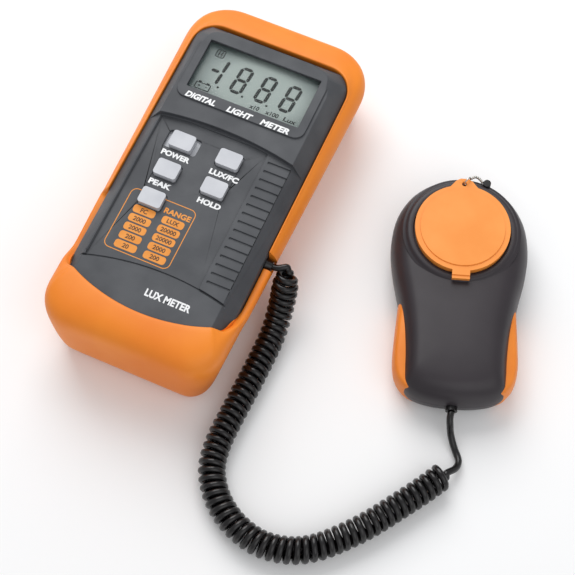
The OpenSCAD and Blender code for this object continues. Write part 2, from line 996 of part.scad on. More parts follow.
module sensor_cap() {
    color(ORANGE)
        sensor_place()
            difference() {
                union() {
                    translate([0, 0, cap_z])
                        cylinder(r = cap_r, h = cap_t - 0.5);
                    translate([0, 0, cap_z + 1])
                        cylinder(r = cap_r - 2.2, h = cap_t - 1);
                    translate([0, 0, skirt_z])
                        cylinder(r = cap_r - 0.2, h = cap_z - skirt_z + 0.5);
                    translate([0, 0, cap_z])
                        linear_extrude(height = cap_t - 0.5)
                            cap_ear();
                    span([-3.6, -21.4, cap_z], [3.6, -15, cap_z + cap_t - 0.5]);
                    span([-3.6, -22.8, collar_z + 0.3], [3.6, -21, cap_z + 0.4]);
                    span([-3.6, -22.8, cap_z - 0.4], [3.6, -19, cap_z + 0.6]);
                }
                translate([0, 0, skirt_z - 1])
                    cylinder(r = ring_in + 0.4, h = cap_z - skirt_z + 1);
                translate([0, lug_y, 20])
                    cylinder(r = 1, h = 10);
            }
}

// Split ring that stands through the hole of the cap's ear
module cap_ring() {
    color(STEEL)
        sensor_place()
            translate([1.24, lug_y + 1.48, cap_z + 1])
                rotate([0, 0, 50])
                    rotate([90, 0, 0])
                        rotate_extrude()
                            translate([2, 0])
                                circle(r = 0.3, $fn = 16);
}

// Chain from the ring to the anchor, as one plain strand
module cap_chain() {
    color(STEEL)
        sensor_place()
            tube([[3.2, 23.9, 25.6], [4.6, 24.6, 24.4], [6, 24.2, 23], [7.5, 23, 22.5]], 0.45, 8, 2);
}

// Small eye set into the shell
module chain_anchor() {
    color(CHIP_BLACK)
        sensor_place()
            translate([anchor_at[0], anchor_at[1], 0])
                difference() {
                    translate([0, 0, anchor_z + 0.05])
                        cylinder(r = anchor_r, h = 4.4);
                    translate([-3, 0, 22.5])
                        rotate([0, 90, 0])
                            cylinder(r = 0.5, h = 6);
                }
}

rubber_boot();
rear_case();
front_case();
case_screws();
battery_door();
battery_door_screw();
battery();
battery_snap();
battery_leads();
main_board();
board_screws();
lcd_frame();
zebra_strips();
lcd_panel();
display_window();
tact_switches();
power_switch();
power_plunger();
power_button();
peak_button();
range_button();
lux_fc_button();
hold_button();
converter_chip();
amplifier_chip();
trimmers();
capacitors();
meter_gland();
cord_exit_lead();
cord_coil();
cord_sensor_lead();
sensor_gland();
sensor_bottom_shell();
sensor_top_shell();
left_grip();
right_grip();
sensor_board();
sensor_screws();
photodiode();
filter_holder();
optical_filter();
diffuser();
diffuser_ring();
sensor_cap();
cap_ring();
cap_chain();
chain_anchor();
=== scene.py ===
"""Looks of a hand-held light meter: boot, case, keys, display, coiled cord and sensor head."""

import json
import logging
import math
from dataclasses import dataclass, field
from enum import Enum
from typing import Sequence

import bpy
from mathutils import Matrix, Vector

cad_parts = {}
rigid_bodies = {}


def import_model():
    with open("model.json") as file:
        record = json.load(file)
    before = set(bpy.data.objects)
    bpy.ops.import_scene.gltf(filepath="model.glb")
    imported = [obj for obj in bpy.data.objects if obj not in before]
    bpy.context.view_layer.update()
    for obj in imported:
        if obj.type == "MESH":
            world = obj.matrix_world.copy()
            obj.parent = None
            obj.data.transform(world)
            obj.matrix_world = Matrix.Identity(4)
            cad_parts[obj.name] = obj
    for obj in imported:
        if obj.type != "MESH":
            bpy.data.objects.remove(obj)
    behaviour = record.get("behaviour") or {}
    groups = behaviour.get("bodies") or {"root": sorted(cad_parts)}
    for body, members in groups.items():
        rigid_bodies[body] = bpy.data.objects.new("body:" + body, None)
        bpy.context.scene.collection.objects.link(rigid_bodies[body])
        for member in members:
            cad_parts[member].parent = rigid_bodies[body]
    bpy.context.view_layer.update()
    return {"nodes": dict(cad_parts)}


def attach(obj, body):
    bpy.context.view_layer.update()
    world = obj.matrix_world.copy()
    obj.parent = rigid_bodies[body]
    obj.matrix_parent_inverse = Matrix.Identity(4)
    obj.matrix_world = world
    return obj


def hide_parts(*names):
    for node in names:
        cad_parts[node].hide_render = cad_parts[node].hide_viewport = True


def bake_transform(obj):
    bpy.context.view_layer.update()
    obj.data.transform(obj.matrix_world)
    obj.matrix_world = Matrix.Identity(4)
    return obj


MM = 0.001
Point = Sequence[float]
Pairs = Sequence[tuple[float, float]]
Ring = list[Vector]
Piece = bpy.types.Object
Tree = bpy.types.NodeTree
Socket = bpy.types.NodeSocket
log = logging.getLogger("light_meter")


def hex_colour(code: str, alpha: float = 1.0) -> tuple[float, float, float, float]:
    """Turns an sRGB hex code into the linear colour that a shader takes.

    Args:
        code: six hex digits, such as "F08C2D".
        alpha: the fourth number.

    Returns:
        Linear red, green and blue, then alpha.
    """

    def linear(value: float) -> float:
        """One channel from sRGB to linear."""
        return value / 12.92 if value <= 0.04045 else ((value + 0.055) / 1.055) ** 2.4

    red, green, blue = (linear(int(code[i : i + 2], 16) / 255) for i in (0, 2, 4))
    return red, green, blue, alpha


def smoothed(points: Sequence[Point], steps: int) -> Ring:
    """Runs a Catmull-Rom curve through points.

    Args:
        points: the points, in millimetres.
        steps: stretches between one point and the next.

    Returns:
        The points of the curve, both ends included.
    """
    given = [Vector(p) for p in points]
    held = [given[0] * 2 - given[1], *given, given[-1] * 2 - given[-2]]
    out = []
    for i in range(1, len(held) - 2):
        a, b, c, d = held[i - 1 : i + 3]
        for k in range(steps):
            t = k / steps
            out.append(
                0.5 * (2 * b + (c - a) * t + (2 * a - 5 * b + 4 * c - d) * t * t
                       + (3 * b - a - 3 * c + d) * t * t * t)
            )
    return [*out, given[-1]]


def easing(value: float, start: float, end: float) -> float:
    """Smooth 0 to 1 as value goes from start to end."""
    t = min(1.0, max(0.0, (value - start) / (end - start)))
    return t * t * (3 - 2 * t)


def between(value: float, knots: Pairs) -> float:
    """Reads a broken line at value; knots run from the largest place to the smallest."""
    for (x0, y0), (x1, y1) in zip(knots, knots[1:]):
        if value >= x1:
            return y0 + (y1 - y0) * (value - x0) / (x1 - x0)
    return knots[-1][1]


def rounded_box(x: float, y: float, width: float, depth: float, radius: float,
                steps: int = 5) -> list[tuple[float, float]]:
    """Outline of a rectangle with round corners.

    Args:
        x, y: its centre.
        width, depth: its whole size.
        radius: of the corners.
        steps: stretches in each corner.

    Returns:
        The outline, anticlockwise.
    """
    out = []
    for corner, (sx, sy) in enumerate(((1, 1), (-1, 1), (-1, -1), (1, -1))):
        for k in range(steps + 1):
            angle = math.radians(90 * (corner + k / steps))
            out.append((
                x + sx * (width / 2 - radius) + radius * math.cos(angle),
                y + sy * (depth / 2 - radius) + radius * math.sin(angle),
            ))
    return out


# Modelling ------------------------------------------------------------------------


class Bench:
    """The modelling bench: the moves that every piece is shaped with, in millimetres."""

    def free(self) -> None:
        """Leaves edit mode with nothing selected."""
        if bpy.context.object and bpy.context.object.mode != "OBJECT":
            bpy.ops.object.mode_set(mode="OBJECT")
        bpy.ops.object.select_all(action="DESELECT")

    def take(self, piece: Piece) -> None:
        """Makes one piece the only selected and active one."""
        self.free()
        piece.select_set(True)
        bpy.context.view_layer.objects.active = piece

    def edit(self, piece: Piece, mode: str = "VERT") -> None:
        """Opens a piece in edit mode, with vertices or edges as what is selected."""
        self.take(piece)
        bpy.ops.object.mode_set(mode="EDIT")
        bpy.ops.mesh.select_mode(type=mode)

    def named(self, name: str) -> Piece:
        """Names the primitive that was just added."""
        piece = bpy.context.object
        piece.name = piece.data.name = name
        return piece

    def pull(self, piece: Piece, old: Ring, new: Ring) -> None:
        """Extrudes the selected ring and sets it down on new places.

        Args:
            piece: the piece, with the ring old selected.
            old: the places of the selected ring.
            new: the places that the new ring takes.
        """
        self.edit(piece, "EDGE")
        bpy.ops.mesh.extrude_edges_move(TRANSFORM_OT_translate={"value": (0, 0, 0)})
        bpy.ops.object.mode_set(mode="OBJECT")
        index = {tuple(round(c, 4) for c in p): k for k, p in enumerate(old)}
        for vertex in piece.data.vertices:
            if vertex.select:
                place = tuple(round(c / MM, 4) for c in vertex.co)
                vertex.co = new[index[place]] * MM

    def loft(self, name: str, rings: Sequence[Ring], around: bool = False) -> Piece:
        """Builds a skin through rings: a circle, then one extrusion for each ring.

        Args:
            name: the piece's name.
            rings: rings with the same number of points, in order.
            around: whether the last ring is bridged back to the first one; else both are filled.

        Returns:
            The piece, with its doubles merged and its faces outwards.
        """
        rings = [[Vector(tuple(round(c, 4) for c in p)) for p in ring] for ring in rings]
        self.free()
        bpy.ops.mesh.primitive_circle_add(vertices=len(rings[0]), radius=MM, fill_type="NOTHING")
        piece = self.named(name)
        for vertex, point in zip(piece.data.vertices, rings[0]):
            vertex.co = point * MM
            vertex.select = True
        for old, new in zip(rings, rings[1:]):
            self.pull(piece, old, new)
        if not around:
            self.edit(piece, "EDGE")
            bpy.ops.mesh.edge_face_add()
            bpy.ops.mesh.select_all(action="DESELECT")
        self.edit(piece)
        bpy.ops.object.mode_set(mode="OBJECT")
        for vertex in piece.data.vertices[: len(rings[0])]:
            vertex.select = True
        self.edit(piece)
        if around:
            bpy.ops.mesh.bridge_edge_loops()
        else:
            bpy.ops.mesh.edge_face_add()
        self.tidy(piece)
        return piece

    def plate(self, name: str, outline: Sequence[Point], low: float, high: float) -> Piece:
        """Flat plate: a filled circle set on an outline and extruded upwards.

        Args:
            name: the piece's name.
            outline: its corners as x and y.
            low, high: its bottom and top.

        Returns:
            The piece.
        """
        self.free()
        bpy.ops.mesh.primitive_circle_add(vertices=len(outline), radius=MM, fill_type="NGON")
        piece = self.named(name)
        for vertex, point in zip(piece.data.vertices, outline):
            vertex.co = Vector((point[0], point[1], low)) * MM
        self.edit(piece)
        bpy.ops.mesh.select_all(action="SELECT")
        bpy.ops.mesh.extrude_region_move(TRANSFORM_OT_translate={"value": (0, 0, (high - low) * MM)})
        self.tidy(piece)
        return piece

    def turned(self, name: str, profile: Pairs, steps: int = 96, around: bool = False) -> Piece:
        """Turned piece about the upright axis: rings of the profile's radii, one on another.

        Args:
            name: the piece's name.
            profile: radius and height of each ring, in order.
            steps: points in a ring.
            around: whether the profile closes on itself.

        Returns:
            The piece.
        """
        turns = [2 * math.pi * k / steps for k in range(steps)]
        rings = [[Vector((r * math.cos(a), r * math.sin(a), z)) for a in turns] for r, z in profile]
        return self.loft(name, rings, around)

    def tidy(self, piece: Piece) -> None:
        """Merges doubles and turns the faces outwards."""
        self.edit(piece)
        bpy.ops.mesh.select_all(action="SELECT")
        bpy.ops.mesh.remove_doubles(threshold=0.002 * MM)
        bpy.ops.mesh.normals_make_consistent(inside=False)
        bpy.ops.mesh.select_all(action="DESELECT")
        bpy.ops.object.mode_set(mode="OBJECT")

    def move(self, piece: Piece, place: Matrix) -> None:
        """Sets a piece down at a place by moving its mesh."""
        piece.data.transform(place)

    def apply(self, piece: Piece, kind: str, **settings: object) -> None:
        """Adds a modifier with its settings and applies it."""
        self.take(piece)
        modifier = piece.modifiers.new("step", kind)
        for key, value in settings.items():
            setattr(modifier, key, value)
        bpy.ops.object.modifier_apply(modifier=modifier.name)

    def shade(self, piece: Piece, degrees: float = 35) -> None:
        """Smooths the shading except over edges sharper than degrees."""
        self.take(piece)
        bpy.ops.object.shade_smooth_by_angle(angle=math.radians(degrees))

    def bevel(self, piece: Piece, width: float, steps: int, degrees: float, clamp: bool) -> None:
        """Rounds the edges of a piece that are sharper than degrees, by width millimetres."""
        self.apply(piece, "BEVEL", width=width * MM, segments=steps, limit_method="ANGLE",
                   angle_limit=math.radians(degrees), use_clamp_overlap=clamp, miter_outer="MITER_ARC")

    def soften(self, piece: Piece, width: float, steps: int, degrees: float) -> None:
        """Bevels a piece as far as its faces allow, and keeps the shading of its flat faces even."""
        self.bevel(piece, width, steps, degrees, clamp=True)
        self.shade(piece)
        self.apply(piece, "WEIGHTED_NORMAL", weight=100, keep_sharp=True)

    def copy(self, node: Piece, name: str) -> Piece:
        """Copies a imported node's mesh under a new name and merges its doubles."""
        piece = bpy.data.objects.new(name, node.data.copy())
        piece.data.name = name
        bpy.context.collection.objects.link(piece)
        self.edit(piece)
        bpy.ops.mesh.select_all(action="SELECT")
        bpy.ops.mesh.remove_doubles(threshold=0.004 * MM)
        bpy.ops.object.mode_set(mode="OBJECT")
        return piece

    def join(self, name: str, pieces: Sequence[Piece]) -> Piece:
        """Joins pieces into the first one, which takes the name."""
        self.take(pieces[0])
        for piece in pieces[1:]:
            piece.select_set(True)
        if len(pieces) > 1:
            bpy.ops.object.join()
        return self.named(name)

    def cut(self, piece: Piece, tool: Piece) -> None:
        """Cuts a closed tool out of a piece and removes the tool."""
        self.apply(piece, "BOOLEAN", object=tool, operation="DIFFERENCE", solver="EXACT")
        bpy.data.objects.remove(tool)

    def word(self, text: str, x: float, y: float, z: float, size: float,
             width: float = 0, bold: float = 0.1, slant: float = 0) -> Piece:
        """Printed word: a text made into a thin mesh.

        Args:
            text: what it says.
            x, y: the middle of the word.
            z: the surface that it is printed on.
            size: the height of a capital.
            width: the width of the whole word, or 0 for the font's own.
            bold: how far the strokes are fattened.
            slant: millimetres to the right for each millimetre up.

        Returns:
            The word's mesh, 0.04 mm thick.
        """
        self.free()
        bpy.ops.object.text_add()
        flat = bpy.context.object
        flat.data.body = text
        flat.data.size = size / 0.7 * MM
        flat.data.offset = bold * MM
        flat.data.extrude = 0.02 * MM
        flat.data.resolution_u = 4
        bpy.ops.object.convert(target="MESH")
        piece = self.named(text)
        xs = [v.co.x for v in piece.data.vertices]
        ys = [v.co.y for v in piece.data.vertices]
        middle = Vector(((min(xs) + max(xs)) / 2, (min(ys) + max(ys)) / 2, 0))
        stretch = width * MM / (max(xs) - min(xs)) if width else 1
        for vertex in piece.data.vertices:
            place = vertex.co - middle
            across = place.x * stretch + place.y * slant
            vertex.co = (across + x * MM, place.y + y * MM, place.z + (z + 0.03) * MM)
        return piece


BENCH = Bench()


# Finishes -------------------------------------------------------------------------


def add_node(tree: Tree, kind: str, settings: dict, links: dict) -> bpy.types.Node:
    """Adds one node.

    Args:
        tree: the node tree.
        kind: the node's type name.
        settings: socket values by input name or number, and properties under their own names.
        links: output sockets by the input name or number that they feed.

    Returns:
        The node.
    """
    node = tree.nodes.new(kind)
    for key, value in settings.items():
        if isinstance(key, str) and hasattr(node, key):
            setattr(node, key, value)
        else:
            node.inputs[key].default_value = value
    for key, socket in links.items():
        tree.links.new(socket, node.inputs[key])
    return node


@dataclass(frozen=True)
class Finish:
    """A surface: two close colours in soft clouds, an uneven gloss and a fine grain."""

    name: str
    colour: str
    shade: str
    cloud_mm: float = 18.0
    grain_mm: float = 0.5
    grain_depth: float = 0.01
    roughness: tuple[float, float] = (0.4, 0.5)
    metallic: float = 0.0
    ior: float = 1.5
    coat: float = 0.0
    transmission: float = 0.0
    specular: float = 0.35
    alpha: float = 1.0

    def tint(self, tree: Tree, place: Socket, cloud: Socket) -> Socket:
        """Returns the colour's socket: clouds of the shade in the colour."""
        mix = add_node(tree, "ShaderNodeMix", {"data_type": "RGBA"}, {0: cloud})
        mix.inputs[6].default_value = hex_colour(self.colour)
        mix.inputs[7].default_value = hex_colour(self.shade)
        return mix.outputs[2]

    def height(self, tree: Tree, place: Socket) -> Socket:
        """Returns the height's socket: a fine even grain."""
        return self.noise(tree, place, self.grain_mm, 3.0)

    def noise(self, tree: Tree, place: Socket, size: float, detail: float) -> Socket:
        """Returns the socket of a noise with patches of a size in millimetres."""
        settings = {"Scale": 1 / (size * MM), "Detail": detail}
        return add_node(tree, "ShaderNodeTexNoise", settings, {"Vector": place}).outputs[0]

    def make(self) -> bpy.types.Material:
        """Builds the material, or gives the one that was built before."""
        if self.name in bpy.data.materials:
            return bpy.data.materials[self.name]
        material = bpy.data.materials.new(self.name)
        material.use_nodes = True
        tree = material.node_tree
        tree.nodes.clear()
        place = add_node(tree, "ShaderNodeTexCoord", {}, {}).outputs["Object"]
        cloud = self.noise(tree, place, self.cloud_mm, 4.0)
        even = add_node(tree, "ShaderNodeMapRange", {1: 0.35, 2: 0.65}, {0: cloud}).outputs[0]
        smooth, rough = self.roughness
        gloss = add_node(tree, "ShaderNodeMapRange", {1: 0.3, 2: 0.7, 3: smooth, 4: rough}, {0: cloud})
        bump = add_node(tree, "ShaderNodeBump", {"Strength": 1.0, "Distance": self.grain_depth * MM},
                        {"Height": self.height(tree, place)})
        shader = add_node(
            tree, "ShaderNodeBsdfPrincipled",
            {"Metallic": self.metallic, "Coat Weight": self.coat, "Coat Roughness": 0.12,
             "Transmission Weight": self.transmission, "Alpha": self.alpha,
             "Specular IOR Level": self.specular},
            {"Base Color": self.tint(tree, place, even), "Roughness": gloss.outputs[0],
             "Normal": bump.outputs[0]},
        )
        if not self.metallic:
            shader.inputs["IOR"].default_value = self.ior
        add_node(tree, "ShaderNodeOutputMaterial", {}, {"Surface": shader.outputs[0]})
        return material


@dataclass(frozen=True)
class BoardFinish(Finish):
    """Solder mask over copper tracks, which show as paler lines on a grid."""

    pitch_mm: float = 2.54

    def tint(self, tree: Tree, place: Socket, cloud: Socket) -> Socket:
        """Returns the colour's socket: tracks along both ways of the board."""
        tracks = add_node(
            tree, "ShaderNodeTexBrick",
            {"Scale": 1 / (self.pitch_mm * 4 * MM), "Mortar Size": 0.03, "Brick Width": 1.4,
             "Row Height": 0.3, "Color1": hex_colour(self.colour), "Color2": hex_colour(self.colour),
             "Mortar": hex_colour(self.shade)},
            {"Vector": place},
        )
        return tracks.outputs[0]


@dataclass(frozen=True)
class DisplayFinish(Finish):
    """Reflective liquid-crystal glass: pale grey-green, with painted shade that darkens it towards the bezel.
    """

    centre: tuple[float, float, float] = (2.5, 42.4, 37.4)
    half: tuple[float, float] = (31.0, 19.0)

    def tint(self, tree: Tree, place: Socket, cloud: Socket) -> Socket:
        """Returns the colour's socket: pale in the middle, with painted shade round the edge."""
        painted_shade_spot = add_node(
            tree, "ShaderNodeMapping",
            {"vector_type": "TEXTURE", "Location": Vector(self.centre) * MM,
             "Scale": (self.half[0] * MM, self.half[1] * MM, 1.0)},
            {"Vector": place},
        )
        fall = add_node(tree, "ShaderNodeTexGradient", {"gradient_type": "SPHERICAL"},
                        {"Vector": painted_shade_spot.outputs[0]})
        # Painted shade: towards its edge the glass takes the darker colour, as if shaded by the bezel's wall.
        edge = add_node(tree, "ShaderNodeMapRange", {1: 0.42, 2: 0.05}, {0: fall.outputs[1]}).outputs[0]
        return super().tint(tree, place, edge)


class Finishes(Enum):
    """The finishes of the light meter. Each slot of the record names its own, in small letters."""

    # Moulded soft rubber: satin, faintly pebbled, with a broad highlight
    BOOT_RUBBER = Finish("orange_moulded_rubber", "F28B28", "EB8023", 30, 0.45, 0.012, (0.42, 0.52))
    # Injection-moulded ABS with a spark-eroded texture: matt and finely grained
    CASE_ABS = Finish("charcoal_textured_abs", "4A4C50", "434549", 14, 0.35, 0.03, (0.46, 0.58))
    # Polished moulded ABS of the keys: smooth, with small even highlights
    KEY_PLASTIC = Finish("silver_grey_moulded_abs", "C3C5CA", "BABCC2", 9, 0.5, 0.004, (0.32, 0.4))
    # Liquid-crystal glass under a polariser film: dull and cool, even but for painted shade that darkens it
    # round the edge
    DISPLAY_GLASS = DisplayFinish("polarised_display_glass", "A6B3AE", "6B7977", 12, 0.6, 0.001, (0.35, 0.42))
    # Black crystal film in the segments: flat dark marks
    SEGMENT_FILM = Finish("dark_crystal_segments", "1B2321", "151C1A", 6, 0.6, 0.001, (0.5, 0.6))
    # Cast acrylic sheet: clear and glossy, hardly seen but for its reflections
    CLEAR_ACRYLIC = Finish("clear_cast_acrylic", "20282A", "1C2426", 12, 0.6, 0.0005, (0.06, 0.1),
                           ior=1.49, alpha=0.08)
    # Glossy PVC jacket of the retractile cord: nearly black, bright narrow highlights
    CORD_JACKET = Finish("black_pvc_jacket", "0E0B0D", "0A0809", 8, 0.4, 0.004, (0.24, 0.32), specular=0.5)
    # Rubber-touch lacquer on ABS: very dark warm grey, long soft highlights
    HEAD_ABS = Finish("soft_touch_lacquered_abs", "353034", "2F2A2E", 22, 0.3, 0.006, (0.36, 0.44))
    # Moulded ABS of the cap: smooth and satin
    CAP_PLASTIC = Finish("orange_satin_abs", "F79A42", "F2923A", 16, 0.5, 0.004, (0.36, 0.44))
    # Soft over-moulded rubber of the side grips
    GRIP_RUBBER = Finish("orange_grip_rubber", "EF8A30", "E67F28", 12, 0.4, 0.012, (0.45, 0.55))
    # Screen-printed ink: thin, matt and even
    WHITE_INK = Finish("white_screen_print", "F4F5F5", "ECEDEE", 5, 0.2, 0.002, (0.5, 0.6))
    ORANGE_INK = Finish("orange_screen_print", "E8963C", "E28E35", 5, 0.2, 0.002, (0.5, 0.6))
    BROWN_INK = Finish("brown_screen_print", "5A3E28", "523823", 5, 0.2, 0.002, (0.5, 0.6))
    # Nickel-plated steel of the ring and chain
    CHAIN_STEEL = Finish("nickel_plated_steel", "C9C7C2", "B5B2AC", 2, 0.3, 0.004, (0.18, 0.3), metallic=1.0)
    # Zinc-plated steel screws: bright with a faint cloudy passivation
    ZINC_STEEL = Finish("zinc_plated_steel", "BFC3C6", "A9AFB4", 2, 0.3, 0.006, (0.25, 0.4), metallic=1.0)
    # Tin-plated can of the battery under its printed sleeve
    BATTERY_CAN = Finish("painted_battery_can", "3B4A5A", "8A7A4A", 20, 0.5, 0.004, (0.3, 0.4), coat=0.3)
    # Glass-filled black plastic of connectors and chip packages
    BLACK_PLASTIC = Finish("matt_black_moulding", "232325", "1C1C1E", 6, 0.3, 0.012, (0.5, 0.62))
    LEAD_PVC = Finish("red_lead_insulation", "A03028", "8F2A23", 5, 0.3, 0.004, (0.35, 0.45))
    # Epoxy-glass board under green solder mask
    CIRCUIT_BOARD = BoardFinish("green_solder_mask", "1F6B3C", "4F9A5E", 12, 0.4, 0.006, (0.3, 0.4))
    WHITE_PLASTIC = Finish("white_moulded_nylon", "E3E3DE", "DADAD4", 8, 0.4, 0.008, (0.45, 0.55))
    SILICONE_STRIP = Finish("grey_silicone_strip", "B9BCC0", "8E9297", 3, 0.3, 0.01, (0.55, 0.65))
    BLUE_PLASTIC = Finish("blue_trimmer_body", "2E5FA8", "28549A", 4, 0.3, 0.006, (0.4, 0.5))
    CAPACITOR_SLEEVE = Finish("capacitor_shrink_sleeve", "24303F", "3A4656", 5, 0.3, 0.004, (0.3, 0.4))
    PHOTODIODE_FACE = Finish("blued_silicon_window", "2A3550", "1E2740", 3, 0.3, 0.001, (0.1, 0.2), coat=0.6)
    FILTER_GLASS = Finish("green_correction_glass", "5E8F6B", "538260", 6, 0.4, 0.001, (0.05, 0.1),
                          ior=1.52, transmission=0.6)
    # Opal acrylic dome: milky, with a soft shine
    OPAL_ACRYLIC = Finish("opal_acrylic_dome", "F3F2EC", "EBEAE3", 10, 0.4, 0.002, (0.2, 0.28), ior=1.49)

    def dress(self, piece: Piece) -> None:
        """Puts the finish on a piece, in place of any that it has."""
        material = self.value.make()
        if piece.material_slots:
            for slot in piece.material_slots:
                slot.material = material
        else:
            piece.data.materials.append(material)


class Body(Enum):
    """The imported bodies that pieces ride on."""

    METER = "meter"
    POWER = "power_key"
    PEAK = "peak_key"
    RANGE = "range_key"
    LUX_FC = "lux_fc_key"
    HOLD = "hold_key"
    SENSOR = "sensor"
    CAP = "cap"


def hand_over(piece: Piece, body: Body | None, finish: Finishes, stands_for: Sequence[str] = (),
              slot: str = "") -> None:
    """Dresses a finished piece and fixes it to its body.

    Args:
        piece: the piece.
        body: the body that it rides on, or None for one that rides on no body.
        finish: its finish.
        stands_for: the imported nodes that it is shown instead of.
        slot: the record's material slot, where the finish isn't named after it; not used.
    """
    finish.dress(piece)
    if body:
        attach(piece, body.value)
    slot or finish.name.lower()
    if stands_for:
        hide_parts(*stands_for)
    faces = len(piece.data.polygons) if piece.type == "MESH" else 0
    log.info("%s: %d faces on %s", piece.name, faces, body.value if body else "two bodies")


# Camera and cord ------------------------------------------------------------------


@dataclass
class Studio:
    """Camera, floor and soft lights."""

    azimuth: float = 24.0
    elevation: float = 65.36
    place: tuple[float, float, float] = (0.1567, -0.2743, 0.6094)
    focal_mm: float = 100.17
    aim: tuple[float, float, float] = (0.04, 0, 0.02)

    def set_camera(self) -> None:
        """Sets the camera over the front right of the meter, looking down."""
        turn, tilt = math.radians(self.azimuth), math.radians(self.elevation)
        back = Vector((math.sin(turn) * math.cos(tilt), -math.cos(turn) * math.cos(tilt), math.sin(tilt)))
        right = Vector((math.cos(turn), math.sin(turn), 0))
        up = back.cross(right)
        bpy.ops.object.camera_add()
        camera = bpy.context.object
        camera.data.lens = self.focal_mm
        camera.data.sensor_width = 36.0
        camera.matrix_world = Matrix((
            (right.x, up.x, back.x, self.place[0]),
            (right.y, up.y, back.y, self.place[1]),
            (right.z, up.z, back.z, self.place[2]),
            (0, 0, 0, 1),
        ))
        bpy.context.scene.camera = camera

    def lay_floor(self) -> None:
        """Lays a plain pale floor."""
        BENCH.free()
        bpy.ops.mesh.primitive_plane_add(size=6.0, location=(0, 0, 0))
        floor = BENCH.named("floor")
        board = Finish("pale_studio_board", "FBFBFB", "F8F8F8", 300, 2, 0.001, (0.8, 0.9))
        floor.data.materials.append(board.make())

    def light(self) -> None:
        """Sets the large lights and the pale surroundings."""
        self.area("window", (-0.35, 0.55, 0.75), 0.8, 7.4)
        self.area("front", (0.65, -0.45, 0.8), 1.0, 2.7)
        world = bpy.data.worlds.new("studio")
        bpy.context.scene.world = world
        world.use_nodes = True
        backdrop = world.node_tree.nodes["Background"]
        backdrop.inputs["Color"].default_value = hex_colour("F7F8FA")
        backdrop.inputs["Strength"].default_value = 0.55
        bpy.context.scene.view_settings.view_transform = "Standard"

    def area(self, name: str, place: Point, size: float, power: float) -> None:
        """Adds a square light of a size in metres that faces the object."""
        bpy.ops.object.light_add(type="AREA", location=place)
        lamp = bpy.context.object
        lamp.name = name
        lamp.data.size = size
        lamp.data.energy = power
        lamp.rotation_euler = (Vector(place) - Vector(self.aim)).to_track_quat("Z", "Y").to_euler()


@dataclass
class CoiledCord:
    """Retractile cord from the meter's side to the sensor head's tail."""

    diameter: float = 2.8
    first_radius: float = 3.45
    radius: float = 4.45
    turns: float = 66.0
    steps_per_turn: int = 20
    exit_route: list = field(default_factory=lambda: [
        (31, -24, 26), (34, -24, 26), (38.6, -24, 26), (41.5, -23.6, 26.6), (44, -22, 26.8),
        (45, -22.4, 25.4),
    ])
    coil_route: list = field(default_factory=lambda: [
        (45, -22.6, 25), (45.3, -26, 20.4), (46, -30, 15), (46.5, -34.5, 10.6), (47, -39.5, 7.6),
        (47.3, -45, 6.2), (47.4, -52, 6), (47.2, -66, 6), (46.7, -80, 6), (46.5, -93, 6), (48, -103, 6),
        (51.4, -110, 6), (57.7, -117, 6), (67, -122.6, 6), (78.5, -125.2, 6), (90, -123.2, 6), (99, -118, 6),
        (107, -110, 6), (114.3, -101, 6), (121, -91, 6), (128, -80, 6), (134, -69.5, 6),
    ])
    lead_route: list = field(default_factory=lambda: [
        (134.4, -68.8, 6), (136.5, -65.5, 3.6), (136.5, -61.5, 2.2), (133.2, -57.6, 2), (129.6, -53.4, 4.8),
        (127.8, -50.6, 8.8), (126.9, -48.5, 9.9), (126.6, -46.55, 10),
    ])

    def helix(self) -> Ring:
        """Winds the turns round the coil's own route.

        Returns:
            The centre line of the wire, in millimetres.
        """
        axis = smoothed(self.coil_route, 40)
        reach = [0.0]
        for a, b in zip(axis, axis[1:]):
            reach.append(reach[-1] + (b - a).length)
        count = round(self.turns * self.steps_per_turn)
        out, k = [], 0
        for step in range(count + 1):
            along = reach[-1] * step / count
            while k < len(axis) - 2 and reach[k + 1] < along:
                k += 1
            t = (along - reach[k]) / (reach[k + 1] - reach[k])
            tangent = (axis[min(k + 2, len(axis) - 1)] - axis[max(k - 1, 0)]).normalized()
            side = Vector((0, 0, 1)).cross(tangent).normalized()
            over = tangent.cross(side)
            turn = self.turns * step / count
            left = self.turns - turn
            radius = self.first_radius + (self.radius - self.first_radius) * easing(turn, 0.8, 2.2)
            radius *= easing(turn, 0.0, 0.8) * easing(left, 0.0, 0.8)
            angle = math.pi / 2 - 2 * math.pi * turn
            spoke = math.cos(angle) * side + math.sin(angle) * over
            out.append(axis[k].lerp(axis[k + 1], t) + radius * spoke)
        return out

    def build(self) -> None:
        helix = self.helix()
        exit_part = smoothed(self.exit_route, 5)[:-1]
        lead_part = smoothed(self.lead_route, 5)[1:]
        line = [p * MM for p in [*exit_part, *helix, *lead_part]]
        for _ in range(2):
            line = [line[0], *((a + 2 * b + c) / 4 for a, b, c in zip(line, line[1:], line[2:])), line[-1]]
        length = sum((b - a).length for a, b in zip(line, line[1:]))
        curve = bpy.data.curves.new("coiled_cord", "CURVE")
        curve.dimensions = "3D"
        spline = curve.splines.new("POLY")
        spline.points.add(len(line) - 1)
        for point, place in zip(spline.points, line):
            point.co = (*place, 1)
        curve.bevel_depth = self.diameter / 2 * MM
        curve.bevel_resolution = 2
        curve.use_fill_caps = True
        cord = bpy.data.objects.new("coiled_cord", curve)
        bpy.context.collection.objects.link(cord)
        hand_over(cord, Body.METER, Finishes.CORD_JACKET,
                  ["cord_exit_lead", "cord_coil", "cord_sensor_lead"])
        tuple(line[0])
        log.info("coiled cord: %.3f m of wire", length)


# Meter ----------------------------------------------------------------------------


@dataclass
class Station:
    """A place on the boot's rim: outside point, body point and outward normal."""

    outer: Vector
    body: Vector
    normal: Vector
    y: float


